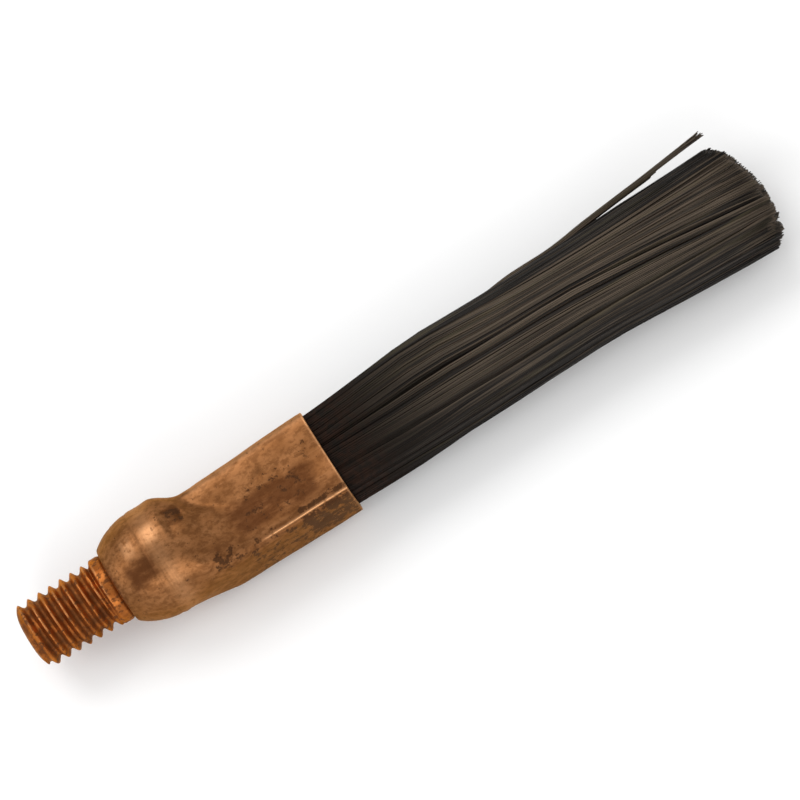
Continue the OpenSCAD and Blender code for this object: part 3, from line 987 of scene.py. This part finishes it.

# %% [markdown]
# ### Carbon fibre
# The filaments are black with a satin gloss, and the dried size gives them a warm, slightly olive
# cast. Every strand has its own stored tone, which also holds painted shade at the tows' edges,
# along the tuft's sides and in the gaps. A stretched noise adds lighter and darker runs along the
# strands. Over the first 18 mm from the mouth the colour darkens towards it and the surface grows
# rougher: painted shade. Where the tuft leaves the mouth, flux and copper dust make it mottled and
# browner.

# %% Make the fibres' finish
def fibre_finish():
    """Sized carbon: each strand's tone, runs along it, painted shade and soiling by the mouth."""
    f = Finish("carbon_fibre_sized")
    tone = f.stored("tone")
    runs = f.noise(0.9, 5, (0.14, 2.2, 2.2), 0.62)
    level = f.plus(f.times(tone, 0.65), f.times(runs, 0.5))
    lit = f.steps(level, 0.25, 0.82)
    base = f.blend(lit, (0.0045, 0.0040, 0.0044, 1), (0.100, 0.075, 0.053, 1))
    olive = f.steps(f.noise(0.55, 4, (0.08, 2.0, 2.0), 0.6), 0.52, 0.70)
    base = f.blend(f.times(olive, 0.5), base, (0.088, 0.071, 0.038, 1))
    along = f.add("ShaderNodeSeparateXYZ", "X", Vector=f.millimetres())
    # Painted shade: the colour darkens towards the mouth, and the roughness rises there.
    from_mouth = f.steps(along, tube_end - 1, tube_end + 18)
    base = f.blend(f.minus(1.0, from_mouth), base, (0.0045, 0.0028, 0.0022, 1))
    near_mouth = f.minus(1.0, f.steps(along, tube_end + 1.0, tube_end + 6.0))
    mottle = f.times(near_mouth, f.steps(f.noise(1.5, 5, roughness=0.65), 0.36, 0.62))
    base = f.blend(f.times(mottle, 0.8), base, (0.020, 0.0075, 0.004, 1))
    f.surface("Base Color", base)
    dull = f.mixed(f.steps(runs, 0.3, 0.7), 0.52, 0.42)
    f.surface("Roughness", f.mixed(from_mouth, 0.9, dull))
    f.surface("IOR", 1.45)
    f.surface("Specular IOR Level", 0.28)
    f.surface("Specular Tint", (1.0, 0.90, 0.78, 1))
    return f.material


carbon = fibre_finish()
for piece in tow_pieces + [stray, split]:
    piece.data.materials.append(carbon)
print("finish:", carbon.name, "on", len(tow_pieces) + 2, "pieces")

# %% [markdown]
# ## The studio
# The head lies on a plain pale table. It rests on the underside of its dome and on the tip of its
# tuft, so the table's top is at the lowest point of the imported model.

# %% Lay the table
TABLE_HALF = 3000.0
TABLE_GAP = 0.02


def pale_table():
    """A large square with the table's top at the lowest point of the head."""
    level = cad_low.z / MM - TABLE_GAP
    around = TABLE_HALF * np.array([[-1, -1], [1, -1], [1, 1], [-1, 1]])
    corners = np.column_stack([around, np.full(4, level)])
    table = make_piece("pale_table", corners, [np.array([[0, 1, 2, 3]])])
    f = Finish("table_paper")
    shade = f.blend(f.noise(0.02, 3), (0.90, 0.90, 0.90, 1), (0.93, 0.93, 0.93, 1))
    f.surface("Base Color", shade)
    f.surface("Roughness", 0.7)
    table.data.materials.append(f.material)
    return table


table = pale_table()
print("table at z = %.2f mm" % (cad_low.z / MM))

# %% [markdown]
# The camera looks down steeply from the near side and is rolled, so that the head climbs from the
# lower left to the upper right. It has a long lens, which keeps the two ends of the head at
# nearly the same scale. Its distance and aim are worked out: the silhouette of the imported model
# is laid on the picture plane, and its box is centred and made to fill most of the width.

# %% Place the camera
ELEVATION = np.radians(70)
ROLL = np.radians(31.6)
FILL = 0.952
SITS_UP = 0.18
LENS = 250
SENSOR = 36


def camera_axes():
    """The picture's right and up directions and the direction back to the camera."""
    back = np.array([0, -np.cos(ELEVATION), np.sin(ELEVATION)])
    level_up = np.array([0, np.sin(ELEVATION), np.cos(ELEVATION)])
    along = np.array([1.0, 0, 0])
    right = np.cos(ROLL) * along - np.sin(ROLL) * level_up
    up = np.sin(ROLL) * along + np.cos(ROLL) * level_up
    return right, up, back


def frame_the_head(points, right, up, back):
    """Aim and distance, in millimetres, that centre the silhouette and fill the share."""
    aim = points.mean(axis=0)
    distance = 500.0
    for _ in range(6):
        seen = points - aim
        depth = distance - seen @ back
        across, high = seen @ right / depth, seen @ up / depth
        aside = right * (across.max() + across.min()) + up * (high.max() + high.min())
        aim = aim + distance * aside / 2
        distance = distance * np.ptp(across) / (FILL * SENSOR / LENS)
    return aim, distance


axes = camera_axes()
silhouette = np.concatenate([node_points(name) for name in frame["nodes"]])
aim, distance = frame_the_head(silhouette, *axes)
aim = aim - SITS_UP * np.array([0, np.sin(ELEVATION), np.cos(ELEVATION)])
camera_data = bpy.data.cameras.new("studio_camera")
camera_data.lens = LENS
camera_data.sensor_width = SENSOR
camera = bpy.data.objects.new("studio_camera", camera_data)
bpy.context.scene.collection.objects.link(camera)
turn = Matrix([Vector(axis) for axis in axes]).transposed()
camera.matrix_world = Matrix.Translation(Vector((aim + distance * axes[2]) * MM)) @ turn.to_4x4()
camera_data.clip_start = 0.01
bpy.context.scene.camera = camera
print("camera %.0f mm away, aimed at" % distance, aim.round(1))

# %% [markdown]
# Soft boxes light the head: a large one from the far side, which draws the long highlights on the
# dome and on the barrel's far corner, and weaker ones from the stud's end, the tip's end and the
# near side. A grey world fills the shadows.

# %% Hang the lights
def soft_box(name, azimuth, elevation, distance, size, brightness):
    """An area light that faces the head. The azimuth runs from +X towards +Y, in degrees."""
    a, e = np.radians(azimuth), np.radians(elevation)
    centre = Vector((cad_low + cad_high) / 2)
    toward = Vector((np.cos(a) * np.cos(e), np.sin(a) * np.cos(e), np.sin(e)))
    data = bpy.data.lights.new(name, "AREA")
    data.shape = "RECTANGLE"
    data.size, data.size_y = size
    data.energy = brightness * np.pi * size[0] * size[1]
    light = bpy.data.objects.new(name, data)
    light.location = centre + toward * distance
    light.rotation_euler = toward.to_track_quat("Z", "Y").to_euler()
    bpy.context.scene.collection.objects.link(light)
    return light


soft_box("far_key", 100, 51, 0.55, (0.44, 0.32), 2.45)
soft_box("stud_side", 175, 38, 0.6, (0.36, 0.32), 2.3)
soft_box("tip_side", -10, 35, 0.6, (0.30, 0.30), 1.5)
soft_box("near_fill", -110, 30, 0.65, (0.50, 0.36), 2.4)
world = bpy.data.worlds.new("studio_air")
world.use_nodes = True
air = world.node_tree.nodes["Background"]
air.inputs["Color"].default_value = (1, 1, 1, 1)
air.inputs["Strength"].default_value = 0.70
bpy.context.scene.world = world
bpy.context.scene.view_settings.view_transform = "Standard"
